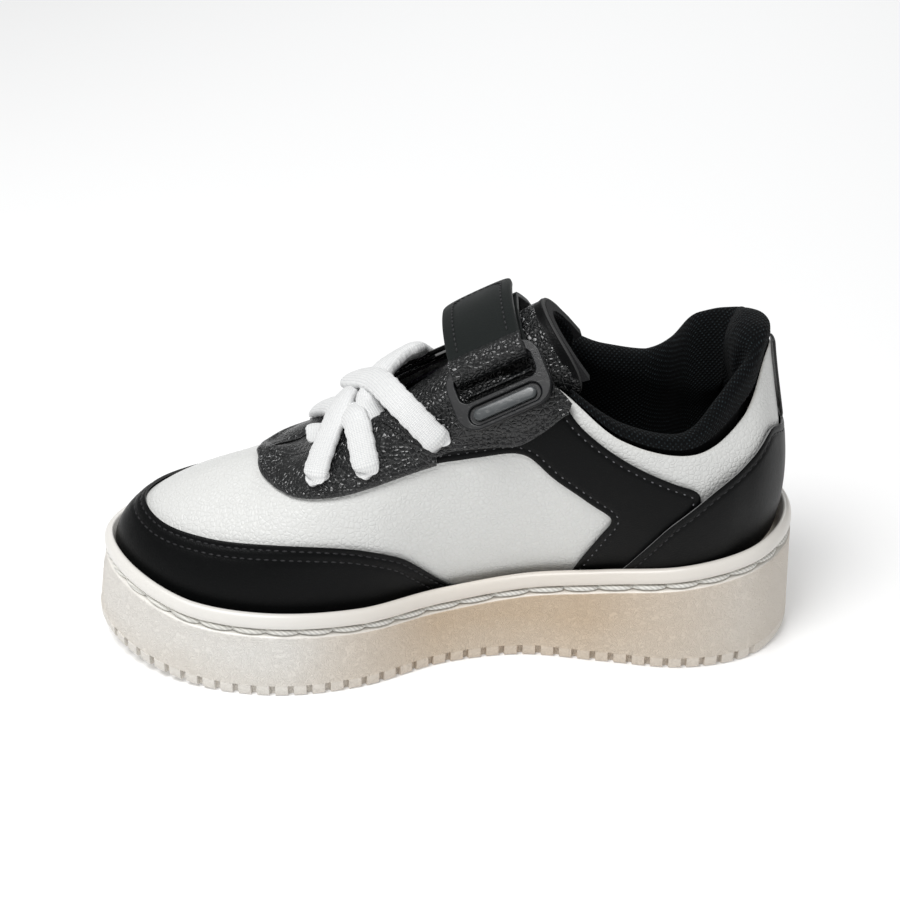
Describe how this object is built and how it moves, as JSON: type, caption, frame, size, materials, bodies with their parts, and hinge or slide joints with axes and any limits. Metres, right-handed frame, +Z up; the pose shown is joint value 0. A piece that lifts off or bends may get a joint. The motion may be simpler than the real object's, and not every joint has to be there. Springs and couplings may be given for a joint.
{
  "type": "platform trainer",
  "caption": "Child's low trainer, right foot: platform cup sole, leather upper, padded collar and tongue, elastic laces, and an instep strap through a hinged plastic ring.",
  "frame": {"origin": "centre of the bounding box's bottom face, on the floor under the middle of the sole", "axes": "+X towards the heel, -X towards the toe, -Y the inner (medial) side, +Y the outer (lateral) side, +Z up"},
  "size_m": [0.2312, 0.0925, 0.119],
  "materials": {
    "sole_rubber": "off-white, finely wrinkled wall, smooth rolled edge",
    "sole_thread": "white thread",
    "eva": "matt foam",
    "board": "pressed fibre board",
    "liner_fabric": "black fabric",
    "white_leather": "white, fine grain, semi-gloss",
    "black_leather": "black, fine grain, semi-gloss",
    "pebbled_leather": "black, pebbled, semi-gloss",
    "collar_mesh": "black knitted mesh",
    "foam": "grey open-cell foam",
    "ring_plastic": "black, satin",
    "inlay_plastic": "dark grey, gloss",
    "tape": "black hook and loop tape",
    "lace_knit": "white knitted elastic"
  },
  "bodies": {
    "shoe": {"cup_sole": "sole_rubber", "sidewall_stitch": "sole_thread", "midsole_filler": "eva", "insole_board": "board", "sock_liner": "liner_fabric", "vamp_lining": "liner_fabric", "toe_puff": "board", "heel_stiffener": "board", "vamp": "white_leather", "collar_panel_medial": "white_leather", "collar_panel_lateral": "white_leather", "mudguard": "black_leather", "eyestay_front": "black_leather", "saddle_medial": "black_leather", "saddle_lateral": "black_leather", "facing_medial": "pebbled_leather", "facing_lateral": "pebbled_leather", "heel_tab": "black_leather", "heel_counter": "black_leather", "collar_lining": "collar_mesh", "collar_foam": "foam", "ring_anchor": "black_leather", "strap_lower_run": "black_leather", "loop_tape": "tape", "lace_cross_front": "lace_knit", "lace_cross_under": "lace_knit", "lace_cross_top": "lace_knit", "lace_cross_rear": "lace_knit", "lace_bar_front": "lace_knit"},
    "tongue": {"tongue_shell": "pebbled_leather", "tongue_foam": "foam", "tongue_lining": "collar_mesh"},
    "ring": {"ring_frame": "ring_plastic", "ring_inlay": "inlay_plastic", "strap_fold": "black_leather"},
    "flap": {"strap_flap": "black_leather", "hook_tape": "tape"}
  },
  "joints": [
    {"name": "tongue_bend", "type": "hinge", "parent": "shoe", "child": "tongue", "pos_m": [-0.0461, 0, 0.0625], "axis": [0, 1, 0], "range_deg": [0, 10], "stiffness_Nm_per_rad": 0.5},
    {"name": "ring_tilt", "type": "hinge", "parent": "shoe", "child": "ring", "pos_m": [0.01677, -0.02832, 0.09953], "axis": [0.8988, 0, 0.4384], "range_deg": [0, 9]},
    {"name": "flap_open", "type": "hinge", "parent": "ring", "child": "flap", "pos_m": [0.01123, -0.01968, 0.1109], "axis": [0.8988, 0, 0.4384], "range_deg": [0, 110]}
  ]
}
